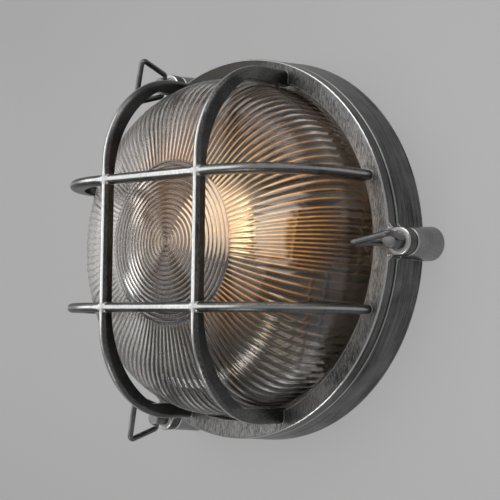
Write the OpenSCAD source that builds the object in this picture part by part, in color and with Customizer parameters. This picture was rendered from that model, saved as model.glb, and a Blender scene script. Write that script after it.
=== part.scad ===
// Round outdoor wall light: a cast base, a ribbed glass dome clamped under a four-bar cage ring by
// three captive thumb screws with wire bails, and a lamp that lies sideways on a bracket inside.
// The wall is the plane y = 0, the light faces -Y and the origin is the centre of the back face.
// Modules are drawn with the depth from the wall along +Z; face_out() turns them to the frame.

/* [Base] */
// Radius of the base where it meets the wall
base_r = 120; // [118:1:132]
// Depth of the base from the wall to its rim
base_depth = 22.8; // [21:0.2:30]
// Radius that the base loses from the wall to its rim
base_draft = 1.7; // [0.5:0.1:3]
// Thickness of the back plate
floor_t = 3.5; // [2.5:0.1:4.5]
// Thickness of the outer wall
wall_t = 4.3; // [3:0.1:5]
// Thickness of the inner wall and of the shelf that the gasket lies on
shelf_t = 3; // [2:0.1:4]
// Depth of the glass seat below the rim
seat_depth = 4.3; // [3.5:0.1:5]
// Width of the shelf that the gasket lies on
shelf_w = 8.5; // [7:0.1:10]

/* [Glass] */
// Thickness of the clamped flange of the glass
flange_t = 4.7; // [4:0.1:6]
// Width of the flange outside the dome
flange_w = 10.3; // [9:0.1:12]
// Depth from the wall to the front of the dome
dome_depth = 91.8; // [88:0.5:104]
// Radius of the shallow crown of the dome
crown_r = 350; // [250:10:600]
// Radius of the shoulder between the side and the crown
shoulder_r = 40; // [32:1:48]
// Draft angle of the side of the dome
glass_draft = 1.1; // [0.5:0.1:2]
// Wall thickness of the glass at its valleys
glass_t = 3; // [2:0.1:4]
// Number of flutes that run from the ring to the round centre panel
flute_count = 120; // [96:24:144]
// Height of a flute at the ring
flute_h = 0.9; // [0.3:0.1:1.2]
// Radius of the centre panel with concentric ribs
panel_r = 48.5; // [40:0.5:60]
// Number of concentric ribs
rib_count = 17; // [10:1:19]
// Height of a concentric rib
rib_h = 0.7; // [0.3:0.1:1]

/* [Gaskets] */
// Thickness of the rubber gasket under the glass
gasket_t = 2.8; // [2:0.1:3.5]
// Thickness of the thin gasket between the glass and the ring
front_gasket_t = 1; // [0.6:0.1:1.5]

/* [Cage ring] */
// Depth of the ring from its back to its brushed face
ring_depth = 7.5; // [6.5:0.1:10]
// Shadow gap between the base and the ring
ring_gap = 0.8; // [0.4:0.1:1.2]
// Gap between the side of the glass and the ring's opening
ring_opening_gap = 3.7; // [2:0.1:5]
// Radius of the ring's rounded front corner
ring_round = 1.3; // [1:0.1:3]
// Distance from the middle of the cage to the centre line of a bar
bar_offset = 38.6; // [30:0.2:44]
// Width of a bar
bar_w = 5.8; // [5:0.1:7]
// Depth of a bar across the front of the cage
bar_depth = 6.4; // [5:0.1:8]
// Gap between the front of the glass and the bars
cage_gap = 9.5; // [6:0.5:14]
// Radius of the outer bend of a bar
cage_bend_r = 59.5; // [50:0.5:64]
// Radius of the inner bend of a bar
cage_inner_r = 66; // [60:0.5:70]
// Distance from the start of the inner bend to the start of the outer bend
bend_shift = 8.72; // [6:0.1:10]
// Gap between the side of the glass and the legs of the cage
leg_gap = 0.7; // [0.5:0.1:1.5]
// Distance that a leg stays inside the flat of the ring
leg_margin = 2.2; // [0.8:0.1:2.6]

/* [Lugs] */
// Distance from the base's edge at the wall to the screw axis
lug_out = 4.8; // [4:0.1:7]
// Radius of a lug at the wall
lug_back_r = 10; // [9:0.1:12]
// Radius of a lug at the joint with the ring and on the ring
lug_front_r = 8.2; // [7.8:0.1:9.4]
// Fillet where a lug meets the rim
lug_fillet = 4; // [2:0.5:6]
// Radius of the rounded edge of a ring lug
lug_round = 1.3; // [0.8:0.1:2]

/* [Thumb screws] */
// Radius of the head
head_r = 4.7; // [4.4:0.1:5.4]
// Length of the head
head_len = 9.9; // [9:0.1:12]
// Depth of the flat seat sunk in the lug
spot_depth = 0.8; // [0.4:0.1:1.2]
// Room round the head in the flat seat
spot_gap = 1; // [0.6:0.1:1.6]
// Distance from the end of the head to its cross hole
hole_from_end = 4.2; // [3.6:0.1:5]
// Pitch radius of the M6 thread
thread_r = 2.675; // [2.6:0.005:2.9]
// Travel from tight to released, six turns of the thread
screw_travel = 6; // [4:0.5:7]
// Thickness of the retaining ring
clip_t = 0.8; // [0.6:0.1:1]
// Outer radius of the retaining ring
clip_r = 4.4; // [4:0.1:4.6]

/* [Wire bails] */
// Radius of the bail wire
wire_r = 1.75; // [1.25:0.05:1.9]
// Half width of the bail at its outer side, before the corners are rounded
bail_half_w = 14; // [12:0.5:15]
// Distance from the cross hole to the outer side of the bail
bail_reach = 21.7; // [16:0.1:24]
// Bend radius of the outer corners, at the middle of the wire
bail_corner_r = 2.6; // [2.2:0.1:4]

/* [Lamp and holder] */
// Turn of the lamp and its wiring round the middle of the light
inside_turn = -10; // [-16:1:0]
// Distance from the wall to the lamp axis
lamp_axis_d = 43; // [40:0.5:50]
// Distance from the middle of the light to the lamp axis
lamp_axis_up = 17; // [8:1:18]
// Radius of the porcelain lampholder
holder_r = 24; // [23:0.5:25]
// Length of the lampholder
holder_len = 30; // [29:0.5:31]
// Radius of the lamp's screw cap at its pitch
cap_r = 12.9; // [12.5:0.1:13.1]
// Radius of the lamp's bulb
bulb_r = 26; // [22:0.5:31]
// Length of the lamp outside the holder
bulb_len = 72; // [66:1:88]
// Thickness of the bracket's steel strip
strip_t = 2; // [1.5:0.1:2.5]
// Width of the bracket
strip_w = 30; // [26:1:36]
// Length of the bracket's foot
foot_len = 20; // [17:1:21]
// Gap between the end of the bracket's foot and the inner wall, along the lamp axis
foot_gap = 9.5; // [9:0.5:14]

/* [Wiring] */
// Distance between the poles of the terminal block
pole_pitch = 12; // [11:0.5:12.5]
// Height of the terminal block above its pad
block_h = 12; // [10:0.5:14]
// Size of the terminal block along the wires
block_w = 18; // [16:0.5:20]
// Gap between the corner of the terminal block and the inner wall
block_gap = 5.1; // [4:0.1:8]
// Radius of a lead over its sleeve
lead_r = 1.5; // [1.2:0.1:1.7]
// Radius of the cable hole in the grommet
cable_r = 4; // [3:0.25:5]
// Radius of the cable entry in the back plate
entry_r = 10; // [8:0.5:12]
// Distance from the cable entry to the inner wall
entry_in = 27.5; // [24:0.5:32]
// Distance from the cable entry to the earth point, along the lamp axis
entry_off = 32; // [28:1:36]

/* [Fixings] */
// Distance from the wall fixing holes to the inner wall
fixing_in = 15.5; // [13.5:0.5:20]
// Radius of a wall fixing hole
fixing_r = 2.75; // [2.25:0.25:3.25]

/* [Hidden] */
$fn = 96;

// Clearances
fit_gap = 0.05;     // between a turning or sliding pin and its hole
loose_gap = 0.8;    // between the glass, gaskets and the castings around them
// Overlap that joins two shapes of one casting
bite = 0.6;

// Rounded, so that the straight and bent stretches of a bar meet exactly
function hundredth(x) = round(100 * x) / 100;

// Radii of the castings and the glass, worked inwards from the base
rim_r = base_r - base_draft;
ring_r = rim_r - 0.2;
seat_r = rim_r - wall_t;
flange_r = seat_r - loose_gap;
glass_r = flange_r - flange_w;
shelf_r = seat_r - shelf_w;
opening_r = glass_r + ring_opening_gap;

// Depths of the stack from the shelf to the ring's face
shelf_d = base_depth - seat_depth;
flange_d = shelf_d + gasket_t;
flange_front = flange_d + flange_t;
lip_d = flange_front + front_gasket_t;
ring_back = base_depth + ring_gap;
face_d = ring_back + ring_depth;

// The cage
cage_front = dome_depth + cage_gap + bar_depth;
leg_out = hundredth(sqrt(pow(ring_r - ring_round - leg_margin, 2)
    - pow(bar_offset + bar_w / 2, 2)));
leg_in = hundredth(sqrt(pow(glass_r + leg_gap, 2) - pow(bar_offset - bar_w / 2, 2)));
bend_up = leg_out - cage_bend_r;
bend_d = cage_front - cage_bend_r;
inner_bend_up = bend_up - bend_shift;

// The lugs and thumb screws: name, angle round the light, angle of the bail's wide side
lug_pcr = base_r + lug_out;
lug_angles = [0, 120, 240];
bail_angles = [10, 78, 80];
seat_d = face_d - spot_depth;
head_end = seat_d + head_len;
cross_d = head_end - hole_from_end;
clip_gap = 0.3;
clip_d = ring_back - clip_gap - screw_travel - clip_t;
thread_top = clip_d - 1.7;
screw_tip = thread_top - screw_travel;
thread_end = screw_tip - 3.8;
pocket_r = clip_r + 0.6;
groove_r = thread_r - 0.475;
bail_bend_r = wire_r + 0.45;
bail_foot = head_r + bail_bend_r + 0.2;

// The lampholder's own frame starts at its back, where it meets the bracket
holder_back_x = shelf_r - foot_gap - foot_len;
holder_rim_x = holder_back_x - holder_len;
cavity_r = cap_r + 2.1;
cavity_floor = 3;
shell_t = 0.7;
holder_screw_off = holder_r - 4.8;
holder_screw_r = 1.75;
holder_head_r = 3.1;
holder_head_seat = 12;
lead_sink = 4;
lead_off = 10;
lead_entry_d = lamp_axis_d - sqrt(holder_r * holder_r - lead_off * lead_off) + lead_sink;

// The bracket
foot_d = floor_t + 4.5;
bracket_top = lamp_axis_d + holder_screw_off + 5;
bracket_screw_off = 8;
bracket_screw_x = holder_back_x + strip_t + 10;
bracket_screw_r = 2;
bracket_boss_r = 4.5;

// The terminal block, its pad and the leads
block_x = holder_rim_x + lead_sink;
block_len = 3 * pole_pitch + 6;
block_y = block_w / 2 - hundredth(sqrt(pow(shelf_r - block_gap, 2)
    - pow(block_x + block_len / 2, 2)));
pad_top = floor_t + 3;
wire_d = pad_top + block_h * 0.46;
lead_bend = 5;
pole_in = block_w / 4 + 2.2;
terminal_screw_r = 1.2;
block_screw_r = 1.5;
earth_screw_r = 2;
earth_x = block_x - 3 * pole_pitch;
earth_boss_r = 6;
terminal_t = 0.8;
barrel_out = 12;
barrel_len = 5;
earth_turn_y = block_y + block_w / 2 + 2 * lead_bend + 1;
earth_boss_top = wire_d - lead_r - terminal_t + 0.3;

// The cable entry and the wall fixings
entry_y = entry_in - shelf_r;
entry_x = earth_x - entry_off;
grommet_lip = 3;
fixing_pcr = shelf_r - fixing_in;
fixing_angles = [90, 210, 330];
fixing_boss_r = 7;
fixing_boss_h = 3;

module face_out() rotate([90, 0, 0]) children();

// The lamp, its bracket and the wiring lie along x and are turned together
module face_out_turned() face_out() rotate(inside_turn) children();

module at_lug(i) rotate(lug_angles[i]) translate([lug_pcr, 0, 0]) children();

// A square whose far corner is rounded with a true arc
module round_corner_square(w, h, r) {
    square([w - r, h]);
    square([w, h - r]);
    translate([w - r, h - r]) circle(r);
}

// A block section with both far corners rounded, symmetric about x = 0
module crowned_section(half_w, h, r) {
    round_corner_square(half_w, h, r);
    mirror([1, 0]) round_corner_square(half_w, h, r);
}

// The corner piece between a rim and the side of a lug, cut to a concave arc
module root_fillet(rim, half_w, h) {
    in = 0.05;
    c = [sqrt(pow(rim - in + lug_fillet, 2) - pow(half_w - in + lug_fillet, 2)),
        half_w - in + lug_fillet];
    corner_x = sqrt(rim * rim - half_w * half_w);
    on_rim = c * (rim - in) / (rim - in + lug_fillet);
    for (side = [0, 1]) mirror([0, side, 0]) linear_extrude(h) difference() {
        polygon([[corner_x - 1, half_w - 1], [c.x, half_w - 1], c, on_rim]);
        translate(c) circle(lug_fillet);
    }
}

// Round wire through the points of a flat path, with a bend of the given radius at each
// inner point. A collar, thicker by a hair, joins each bend to the straight wire beside it.
module bent_wire(path, bends, r) {
    collar = 0.02;
    collar_len = 0.1;
    last = len(path) - 1;
    along = [for (i = [0 : last - 1]) path[i + 1] - path[i]];
    heading = [for (v = along) atan2(v.y, v.x)];
    turn = [for (i = [0 : last]) i == 0 || i == last ? 0
        : (heading[i] - heading[i - 1] + 540) % 360 - 180];
    inset = [for (i = [0 : last]) i == 0 || i == last ? 0 : bends[i - 1] * tan(abs(turn[i]) / 2)];
    for (i = [0 : last - 1])
        translate(path[i]) rotate(heading[i]) translate([inset[i], 0, 0]) rotate([0, 90, 0])
            cylinder(r = r, h = norm(along[i]) - inset[i] - inset[i + 1], $fn = 32);
    for (i = [1 : last - 1]) {
        side = sign(turn[i]);
        start = heading[i - 1] - 90 * side + min(turn[i], 0);
        translate(path[i]) rotate(heading[i - 1])
            translate([-inset[i], bends[i - 1] * side, 0]) rotate(start - heading[i - 1])
                rotate_extrude(angle = abs(turn[i]), $fn = 64) translate([bends[i - 1], 0])
                    circle(r, $fn = 32);
        for (leg = [[heading[i - 1], -inset[i]], [heading[i], inset[i]]])
            translate(path[i]) rotate(leg[0]) translate([leg[1] - collar_len / 2, 0, 0])
                rotate([0, 90, 0]) cylinder(r = r + collar, h = collar_len, $fn = 32);
    }
}

// Countersunk, pan or cheese headed screws all stand on their seat with the shank below
module pan_screw(shank_r, shank_len, head_r, head_h) {
    difference() {
        union() {
            translate([0, 0, -shank_len]) cylinder(r = shank_r, h = shank_len + bite);
            cylinder(r = head_r, h = head_h);
        }
        translate([-head_r, -0.5, head_h * 0.55]) cube([2 * head_r, 1, head_h]);
    }
}

// The cast base, drawn from the wall outwards
module base_section() {
    chamfer = 0.7;
    inner_wall_r = shelf_r + shelf_t;
    channel_top = shelf_d - shelf_t;
    slope = base_draft / base_depth;
    polygon([[0, 0], [inner_wall_r, 0], [inner_wall_r, channel_top],
        [base_r - slope * channel_top - wall_t + 0.1, channel_top], [base_r - wall_t + 0.1, 0],
        [base_r, 0], [rim_r, base_depth - chamfer], [rim_r - chamfer, base_depth],
        [seat_r, base_depth], [seat_r, shelf_d], [shelf_r, shelf_d], [shelf_r, floor_t],
        [0, floor_t]]);
}

module base_lug() {
    chamfer = 0.5;
    web = lug_pcr - rim_r + 2;
    edge_d = base_depth - chamfer;
    cylinder(r1 = lug_back_r, r2 = lug_front_r, h = edge_d);
    translate([0, 0, edge_d]) cylinder(r1 = lug_front_r, r2 = lug_front_r - chamfer, h = chamfer);
    rotate([90, 0, -90]) linear_extrude(web)
        polygon([[-lug_back_r, 0], [lug_back_r, 0], [lug_front_r, edge_d],
            [lug_front_r - chamfer, base_depth], [chamfer - lug_front_r, base_depth],
            [-lug_front_r, edge_d]]);
}

module base_housing() color("DimGray") face_out() difference() {
    union() {
        rotate_extrude() base_section();
        for (i = [0 : 2]) {
            at_lug(i) base_lug();
            rotate(lug_angles[i]) root_fillet(rim_r + 0.1, lug_front_r + 0.1, base_depth - 1);
        }
        for (a = fixing_angles) rotate(a) translate([fixing_pcr, 0, 0])
            cylinder(r = fixing_boss_r, h = floor_t + fixing_boss_h);
        rotate(inside_turn) {
            for (s = [-1, 1])
                translate([bracket_screw_x, lamp_axis_up + s * bracket_screw_off, 0])
                    cylinder(r = bracket_boss_r, h = foot_d);
            translate([block_x - block_len / 2, block_y - block_w / 2, 0])
                cube([block_len, block_w, pad_top]);
            translate([earth_x, block_y, 0]) cylinder(r = earth_boss_r, h = earth_boss_top);
        }
    }
    for (i = [0 : 2]) at_lug(i) {
        translate([0, 0, thread_end]) cylinder(r = thread_r + fit_gap, h = base_depth);
        translate([0, 0, thread_top]) cylinder(r = pocket_r, h = base_depth);
    }
    for (a = fixing_angles) rotate(a) translate([fixing_pcr, 0, -1])
        cylinder(r = fixing_r, h = floor_t + fixing_boss_h + 2);
    rotate(inside_turn) {
        for (s = [-1, 1])
            translate([bracket_screw_x, lamp_axis_up + s * bracket_screw_off, floor_t / 2])
                cylinder(r = bracket_screw_r + fit_gap, h = foot_d);
        translate([block_x + pole_pitch / 2, block_y, floor_t / 2])
            cylinder(r = block_screw_r + fit_gap, h = pad_top);
        translate([earth_x, block_y, floor_t / 2])
            cylinder(r = earth_screw_r + fit_gap, h = earth_boss_top);
        translate([entry_x, entry_y, -1]) cylinder(r = entry_r, h = floor_t + 2);
    }
}

// The ring, its lugs and the cage bars are one casting
module ring_section() {
    difference() {
        translate([opening_r, ring_back])
            round_corner_square(ring_r - opening_r, ring_depth, ring_round);
        translate([0, ring_back - 1]) square([seat_r, lip_d - ring_back + 1]);
        polygon([[opening_r - 1, face_d + 1], [opening_r - 1, face_d - 1.6],
            [opening_r + 1.6, face_d + 1]]);
    }
}

module ring_lug() {
    web = lug_pcr - ring_r + 2;
    translate([0, 0, ring_back]) {
        rotate_extrude() round_corner_square(lug_front_r, ring_depth, lug_round);
        rotate([90, 0, -90]) linear_extrude(web)
            crowned_section(lug_front_r, ring_depth, lug_round);
    }
}

// Section of a bar: flat sides and a half-round outer ridge at the given distance
module bar_section(ridge) {
    translate([ridge - bar_w / 2, 0]) circle(bar_w / 2);
    translate([ridge - 2 * bar_depth - 3, -bar_w / 2]) square([2 * bar_depth + 3 - bar_w / 2, bar_w]);
}

// The space inside the cage, as a cut through one bar
module cage_inside() {
    inner_front = cage_front - bar_depth;
    intersection() {
        union() {
            translate([-inner_bend_up, 0]) square([2 * inner_bend_up, inner_front]);
            for (s = [-1, 1]) translate([s * inner_bend_up, inner_front - cage_inner_r])
                circle(cage_inner_r);
        }
        translate([-leg_in, 0]) square([2 * leg_in, cage_front]);
    }
}

// One bar in its own plane: x runs across the light and y is the depth from the wall
module cage_bar() {
    difference() {
        union() {
            rotate([90, 0, 90]) linear_extrude(2 * bend_up, center = true)
                bar_section(cage_front);
            for (side = [0, 1]) mirror([side, 0, 0]) translate([bend_up, bend_d, 0]) {
                rotate_extrude(angle = 90) bar_section(cage_bend_r);
                rotate([90, 0, 0]) linear_extrude(bend_d - face_d + 2) bar_section(cage_bend_r);
            }
        }
        linear_extrude(2 * bar_w, center = true) cage_inside();
    }
}

module cage_ring() color("SlateGray") face_out() difference() {
    union() {
        rotate_extrude() ring_section();
        for (i = [0 : 2]) {
            at_lug(i) ring_lug();
            rotate(lug_angles[i]) translate([0, 0, ring_back])
                root_fillet(ring_r, lug_front_r, ring_depth - ring_round);
        }
        for (s = [-1, 1]) {
            translate([s * bar_offset, 0, 0]) rotate([90, 0, 90]) cage_bar();
            translate([0, s * bar_offset, 0]) rotate([90, 0, 0]) cage_bar();
        }
    }
    for (i = [0 : 2]) at_lug(i) {
        translate([0, 0, ring_back - 1]) cylinder(r = thread_r + 0.45, h = ring_depth + 2);
        translate([0, 0, seat_d]) cylinder(r = head_r + spot_gap, h = spot_depth + 1);
    }
}

// The dome's outer profile: a drafted side, a shoulder arc and a crown arc, all tangent
crown_c = dome_depth - crown_r;
side_off = glass_r * cos(glass_draft) + face_d * sin(glass_draft) - shoulder_r
    - crown_c * sin(glass_draft);
side_along = sqrt(pow(crown_r - shoulder_r, 2) - pow(side_off, 2));
shoulder_c = [side_off * cos(glass_draft) - side_along * sin(glass_draft),
    crown_c + side_off * sin(glass_draft) + side_along * cos(glass_draft)];
crown_edge = atan2(shoulder_c.y - crown_c, shoulder_c.x);

// Radius of the side of the glass at a depth, and points on the shoulder and crown, each moved
// inwards by t along the surface's normal
function side_point(d, t) = [glass_r - t / cos(glass_draft) - (d - face_d) * tan(glass_draft), d];
function shoulder_point(a, t) = shoulder_c + (shoulder_r - t) * [cos(a), sin(a)];
function crown_point(r, t) = [r * (1 - t / crown_r),
    crown_c + (crown_r - t) * sqrt(1 - pow(r / crown_r, 2))];

// The end of the fluted zone, and the width and height of a flute at radius r
flute_end_r = panel_r + 1.2;
function flute_at(r) = flute_h * r / glass_r;

// A ring of n points at [radius, depth]; every second point of a fluted ring is a valley
function plain_ring(p, n) = [for (i = [0 : n - 1])
    [p.x * cos(360 * i / n), p.x * sin(360 * i / n), p.y]];
function fluted_ring(top, valley) = [for (i = [0 : 2 * flute_count - 1])
    let (p = i % 2 == 0 ? top : valley, a = 180 * i / flute_count)
    [p.x * cos(a), p.x * sin(a), p.y]];

// Faces between two rings that start at points a and b, where n is the smaller count
function join_coarse_first(a, na, b, nb) = let (k = nb / na) [for (j = [0 : na - 1], i = [0 : k])
    if (i < k) [a + j, b + (k * j + i + 1) % nb, b + k * j + i]
    else if (na > 1) [a + j, a + (j + 1) % na, b + (k * j + k) % nb]];
function join_rings(a, na, b, nb) = na <= nb ? join_coarse_first(a, na, b, nb)
    : [for (f = join_coarse_first(b, nb, a, na)) [f[0], f[2], f[1]]];

function starts(rings, i = 0, sum = 0) = i == len(rings) ? []
    : concat([sum], starts(rings, i + 1, sum + len(rings[i])));

// Rings from the middle of the inside, round the flange and back to the middle of the outside
module glass_dome() {
    coarse = 2 * flute_count / 5;
    inner_r_rows = [panel_r * 0.5, panel_r];
    shoulder_rows = [for (k = [0 : 4]) glass_draft + (crown_edge - glass_draft) * k / 4];
    side_rows = [face_d, (face_d + shoulder_c.y) / 2];
    mid_crown = (flute_end_r + shoulder_c.x) / 2;
    inside = concat([[crown_point(0, glass_t)]],
        [for (r = inner_r_rows) plain_ring(crown_point(r, glass_t), coarse)],
        [for (k = [4 : -1 : 0]) plain_ring(shoulder_point(shoulder_rows[k], glass_t), coarse)],
        [plain_ring(side_point(flange_d, glass_t), coarse)]);
    apex = [for (p = inside[0]) [0, 0, p]];
    flange = [for (p = [[flange_r, flange_d], [flange_r, flange_front]]) plain_ring(p, coarse)];
    run_out = [plain_ring(side_point(flange_front, 0), 2 * flute_count)];
    flutes = concat(
        [for (d = side_rows) fluted_ring(side_point(d, -flute_at(glass_r)), side_point(d, 0))],
        [for (a = shoulder_rows) fluted_ring(
            shoulder_point(a, -flute_at(shoulder_point(a, 0).x)), shoulder_point(a, 0))],
        [for (r = [mid_crown, flute_end_r]) fluted_ring(
            crown_point(r, -flute_at(r)), crown_point(r, 0))]);
    ribs = [for (k = [2 * rib_count : -1 : 1])
        plain_ring(crown_point(panel_r * k / (2 * rib_count), k % 2 == 0 ? 0 : -rib_h), coarse)];
    middle = [[[0, 0, crown_point(0, 0).y]]];
    rings = concat([[[0, 0, crown_point(0, glass_t).y]]], [for (i = [1 : len(inside) - 1])
        inside[i]], flange, run_out, flutes, ribs, middle);
    at = starts(rings);
    faces = [for (i = [0 : len(rings) - 2])
        each join_rings(at[i], len(rings[i]), at[i + 1], len(rings[i + 1]))];
    color("Gainsboro", 0.5) face_out() polyhedron([for (ring = rings) each ring], faces);
}

module base_gasket() color("Black") face_out() rotate_extrude()
    translate([shelf_r + 0.7, shelf_d]) square([flange_r + 0.2 - shelf_r - 0.7, gasket_t]);

module front_gasket() color("Black") face_out() rotate_extrude()
    translate([opening_r + 0.6, flange_front])
        square([flange_r - 0.4 - opening_r - 0.6, front_gasket_t]);

// The lampholder frame: origin at the middle of its back, +Z towards the lamp
module at_holder() translate([holder_back_x, lamp_axis_up, lamp_axis_d]) rotate([0, -90, 0])
    children();

module lamp_bracket() {
    bend = strip_t + 1;
    plate_x = holder_back_x;
    color("Goldenrod") face_out_turned() difference() {
        union() {
            translate([plate_x, lamp_axis_up - strip_w / 2, foot_d + bend])
                cube([strip_t, strip_w, bracket_top - foot_d - bend]);
            translate([plate_x + bend, lamp_axis_up - strip_w / 2, foot_d])
                cube([foot_len - bend, strip_w, strip_t]);
            translate([plate_x + bend, lamp_axis_up + strip_w / 2, foot_d + bend])
                rotate([90, 0, 0]) linear_extrude(strip_w) difference() {
                    circle(bend);
                    circle(bend - strip_t);
                    translate([0, -bend - 1]) square([bend + 1, 2 * bend + 2]);
                    translate([-bend - 1, 0]) square([2 * bend + 2, bend + 1]);
                }
        }
        at_holder() for (s = [-1, 1]) translate([s * holder_screw_off, 0, -strip_t - 1])
            cylinder(r = holder_screw_r, h = strip_t + 2);
        for (s = [-1, 1])
            translate([bracket_screw_x, lamp_axis_up + s * bracket_screw_off, foot_d - 1])
                cylinder(r = bracket_screw_r + 0.2, h = strip_t + 2);
    }
}

module bracket_screws() color("Silver") face_out_turned() for (s = [-1, 1])
    translate([bracket_screw_x, lamp_axis_up + s * bracket_screw_off, foot_d + strip_t])
        pan_screw(bracket_screw_r, foot_d + strip_t - floor_t / 2 - 0.5, 3.6, 2.6);

// Where the two leads enter the holder, measured from its back
live_z = holder_back_x - block_x;
neutral_z = live_z - pole_pitch;

module lampholder_body() color("Ivory") face_out_turned() at_holder() difference() {
    rotate_extrude() round_corner_square(holder_r, holder_len, 2);
    translate([0, 0, cavity_floor]) cylinder(r = cavity_r, h = holder_len);
    for (s = [-1, 1]) translate([s * holder_screw_off, 0, 0]) {
        translate([0, 0, -1]) cylinder(r = holder_screw_r + 0.2, h = holder_len);
        translate([0, 0, holder_head_seat]) cylinder(r = holder_head_r + 0.2, h = holder_len);
    }
    for (z = [live_z, neutral_z]) translate([lead_entry_d - lamp_axis_d, -lead_off, z])
        rotate([0, -90, 0]) cylinder(r = lead_r + 0.2, h = holder_r);
}

// The threaded shell stands on the cavity's floor on a small inward flange
module lampholder_shell() color("Silver") face_out_turned() at_holder()
    translate([0, 0, cavity_floor]) difference() {
        cylinder(r = cap_r + 0.3 + shell_t, h = holder_len - cavity_floor - 3);
        translate([0, 0, shell_t]) cylinder(r = cap_r + 0.3, h = holder_len);
        translate([0, 0, -1]) cylinder(r = cap_r - 3.5, h = 3);
    }

contact_h = 1.6;
module centre_contact() color("Gold") face_out_turned() at_holder()
    translate([0, 0, cavity_floor]) cylinder(r = cap_r * 0.35, h = contact_h);

module holder_screws() color("Silver") face_out_turned() at_holder() for (s = [-1, 1])
    translate([s * holder_screw_off, 0, holder_head_seat])
        pan_screw(holder_screw_r, holder_head_seat + strip_t + 1, holder_head_r, 2.2);

// The lamp is sealed, so it is one solid: screw cap, neck and bulb
module lamp() {
    tip = contact_h + cavity_floor;
    cap_top = holder_len - 1;
    bulb_mid = holder_len + bulb_len - bulb_r;
    neck_r = cap_r + 1;
    neck_bend = 45;
    neck_c = neck_r + neck_bend;
    reach = sqrt(pow(neck_bend + bulb_r, 2) - neck_c * neck_c);
    join = bulb_r / (bulb_r + neck_bend);
    color("LemonChiffon") face_out_turned() at_holder() {
        translate([0, 0, tip]) cylinder(r1 = 4, r2 = 5.5, h = 3);
        translate([0, 0, tip + 2]) cylinder(r1 = 8, r2 = cap_r, h = 4);
        translate([0, 0, tip + 5]) cylinder(r = cap_r, h = cap_top - tip - 5);
        rotate_extrude() intersection() {
            union() {
                translate([0, bulb_mid]) circle(bulb_r);
                difference() {
                    polygon([[0, cap_top - 1], [neck_r, cap_top - 1],
                        [neck_r, bulb_mid - reach], [neck_c * join, bulb_mid - reach * join],
                        [0, bulb_mid]]);
                    translate([neck_c, bulb_mid - reach]) circle(neck_bend);
                }
            }
            square([2 * bulb_r, 2 * bulb_r + bulb_len]);
        }
    }
}

module pole_positions() for (k = [-1 : 1]) translate([block_x + k * pole_pitch, block_y, 0])
    children();

module terminal_block() color("WhiteSmoke") face_out_turned() difference() {
    translate([block_x - block_len / 2, block_y - block_w / 2, pad_top])
        cube([block_len, block_w, block_h]);
    pole_positions() {
        translate([0, block_w, wire_d]) rotate([90, 0, 0])
            cylinder(r = lead_r + 0.2, h = 2 * block_w);
        for (s = [-1, 1]) translate([0, s * block_w / 4, wire_d]) cylinder(r = 2.1, h = block_h);
    }
    for (k = [-1, 1]) translate([block_x + k * pole_pitch / 2 - 1, block_y - block_w,
        pad_top + block_h * 0.72]) cube([2, 2 * block_w, block_h]);
    translate([block_x + pole_pitch / 2, block_y, 0]) cylinder(r = 1.7, h = 2 * block_h);
    translate([block_x + pole_pitch / 2, block_y, pad_top + block_h / 2])
        cylinder(r = 2.9, h = block_h);
}

module terminal_screws() color("Silver") face_out_turned() pole_positions() for (s = [-1, 1])
    translate([0, s * block_w / 4, wire_d + lead_r + 2.2])
        pan_screw(terminal_screw_r, 2.2, 1.9, 1.6);

module block_screw() color("Silver") face_out_turned()
    translate([block_x + pole_pitch / 2, block_y, pad_top + block_h / 2])
        pan_screw(block_screw_r, pad_top + block_h / 2 - floor_t / 2 - 0.5, 2.7, 2);

module cable_grommet() color("Black") face_out_turned() translate([entry_x, entry_y, 0]) difference() {
    union() {
        cylinder(r = entry_r, h = floor_t + 1);
        translate([0, 0, floor_t])
            rotate_extrude() round_corner_square(entry_r + grommet_lip, 2.5, 1);
    }
    translate([0, 0, -1]) cylinder(r = cable_r, h = floor_t + 6);
}

// The earth point: a ring terminal and a washer under a screw on a boss
module earth_terminal() color("Silver") face_out_turned() translate([earth_x, block_y, 0]) difference() {
    union() {
        translate([0, 0, earth_boss_top]) cylinder(r = 4.8, h = terminal_t);
        translate([-1.8, 3, earth_boss_top]) cube([3.6, 4.5, terminal_t]);
        translate([0, barrel_out, wire_d]) rotate([90, 0, 0])
            cylinder(r = lead_r + 0.7, h = barrel_len);
    }
    translate([0, 0, earth_boss_top - 1]) cylinder(r = earth_screw_r + 0.2, h = 4);
    translate([0, barrel_out + 1, wire_d]) rotate([90, 0, 0])
        cylinder(r = lead_r, h = barrel_len - 1);
}

washer_t = 1;
module earth_washer() color("Silver") face_out_turned()
    translate([earth_x, block_y, earth_boss_top + terminal_t]) difference() {
        cylinder(r = 4.4, h = washer_t);
        translate([0, 0, -1]) cylinder(r = earth_screw_r + 0.2, h = washer_t + 2);
    }

module earth_screw() color("Silver") face_out_turned()
    translate([earth_x, block_y, earth_boss_top + terminal_t + washer_t])
        pan_screw(earth_screw_r, earth_boss_top + terminal_t + washer_t - floor_t / 2 - 0.5,
            3.6, 2.6);

module earth_lead() color("Green") face_out_turned() translate([0, 0, wire_d])
    bent_wire([[block_x - pole_pitch, block_y + pole_in], [block_x - pole_pitch, earth_turn_y],
        [earth_x, earth_turn_y], [earth_x, block_y + barrel_out - barrel_len + 2]],
        [lead_bend, lead_bend], lead_r);

// A lead runs from the block along the back plate and rises into the holder's wall side
module rising_lead(x) translate([x, 0, 0]) rotate([90, 0, 90])
    bent_wire([[block_y + pole_in, wire_d], [lamp_axis_up - lead_off, wire_d],
        [lamp_axis_up - lead_off, lead_entry_d]], [lead_bend], lead_r);

module live_lead() color("SaddleBrown") face_out_turned() rising_lead(block_x);

module neutral_lead() color("RoyalBlue") face_out_turned() rising_lead(block_x + pole_pitch);

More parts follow.
